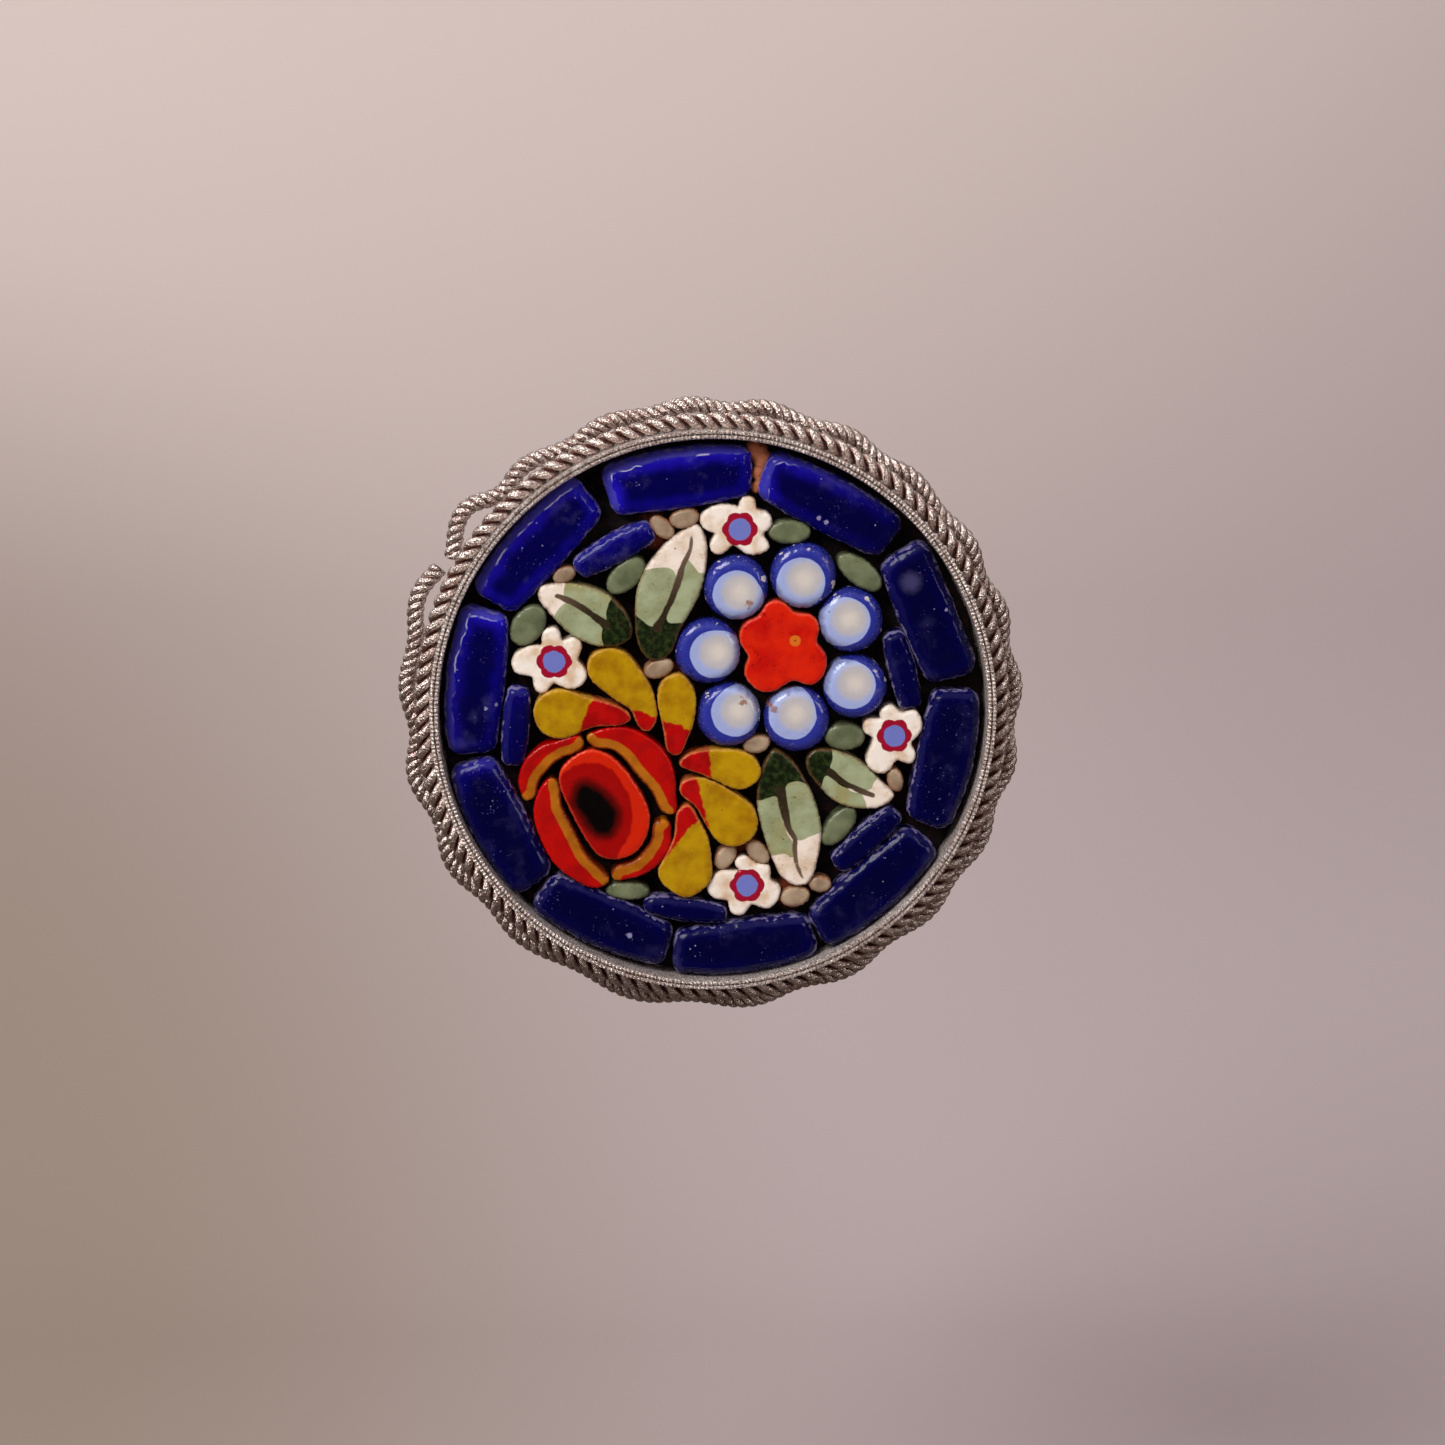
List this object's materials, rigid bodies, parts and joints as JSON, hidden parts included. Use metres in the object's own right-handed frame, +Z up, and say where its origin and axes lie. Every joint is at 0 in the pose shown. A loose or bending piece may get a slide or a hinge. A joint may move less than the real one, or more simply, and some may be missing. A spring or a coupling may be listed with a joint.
{
  "type": "screw back earring",
  "caption": "Round glass mosaic of flowers in a silver tray with twisted wire and a scalloped wire edge, on a screw back that grips the ear lobe.",
  "frame": {"origin": "on the screw's axis, midway between the grip disc and the pad, where the ear lobe goes; the mosaic's centre lies 3 mm below that axis", "axes": "-Y is the way the mosaic faces, +Y runs back along the screw, +Z is up on the ear, +X is to the right seen from the front"},
  "size_m": [0.0253, 0.0142, 0.0252],
  "materials": {
    "silver": "soft worn silver, darker in the hollows",
    "cement": "matt dark red-brown cement",
    "blue_glass": "glossy opaque dark blue glass with brighter edges",
    "petal_glass": "glossy opaque glass, white in the middle and blue at the edge",
    "leaf_glass": "ground opaque glass in white, sage and dark green",
    "yellow_glass": "ground opaque yellow glass with a red end",
    "rose_glass": "glossy opaque red glass",
    "flower_glass": "ground opaque white glass with a crimson ring",
    "red_glass": "glossy opaque bright red glass with an orange dot",
    "green_glass": "ground opaque grey-green glass",
    "cream_glass": "ground opaque cream glass"
  },
  "bodies": {
    "root": {"setting": "silver", "cement": "cement", "screw_back": "silver", "border_bar_01": "blue_glass", "border_bar_02": "blue_glass", "border_bar_03": "blue_glass", "border_bar_04": "blue_glass", "border_bar_05": "blue_glass", "border_bar_06": "blue_glass", "border_bar_07": "blue_glass", "border_bar_08": "blue_glass", "border_bar_09": "blue_glass", "border_bar_10": "blue_glass", "inner_bar_1": "blue_glass", "inner_bar_2": "blue_glass", "inner_bar_3": "blue_glass", "inner_bar_4": "blue_glass", "inner_bar_5": "blue_glass", "round_petal_1": "petal_glass", "round_petal_2": "petal_glass", "round_petal_3": "petal_glass", "round_petal_4": "petal_glass", "round_petal_5": "petal_glass", "round_petal_6": "petal_glass", "round_petal_7": "petal_glass", "red_flower": "red_glass", "leaf_1": "leaf_glass", "leaf_2": "leaf_glass", "leaf_3": "leaf_glass", "leaf_4": "leaf_glass", "yellow_petal_1": "yellow_glass", "yellow_petal_2": "yellow_glass", "yellow_petal_3": "yellow_glass", "yellow_petal_4": "yellow_glass", "yellow_petal_5": "yellow_glass", "yellow_petal_6": "yellow_glass", "rose_heart": "rose_glass", "rose_petal_1": "rose_glass", "rose_petal_2": "rose_glass", "rose_petal_3": "rose_glass", "rose_petal_4": "rose_glass", "white_flower_1": "flower_glass", "white_flower_2": "flower_glass", "white_flower_3": "flower_glass", "white_flower_4": "flower_glass", "green_chips": "green_glass", "cream_chips": "cream_glass"}
  },
  "joints": []
}
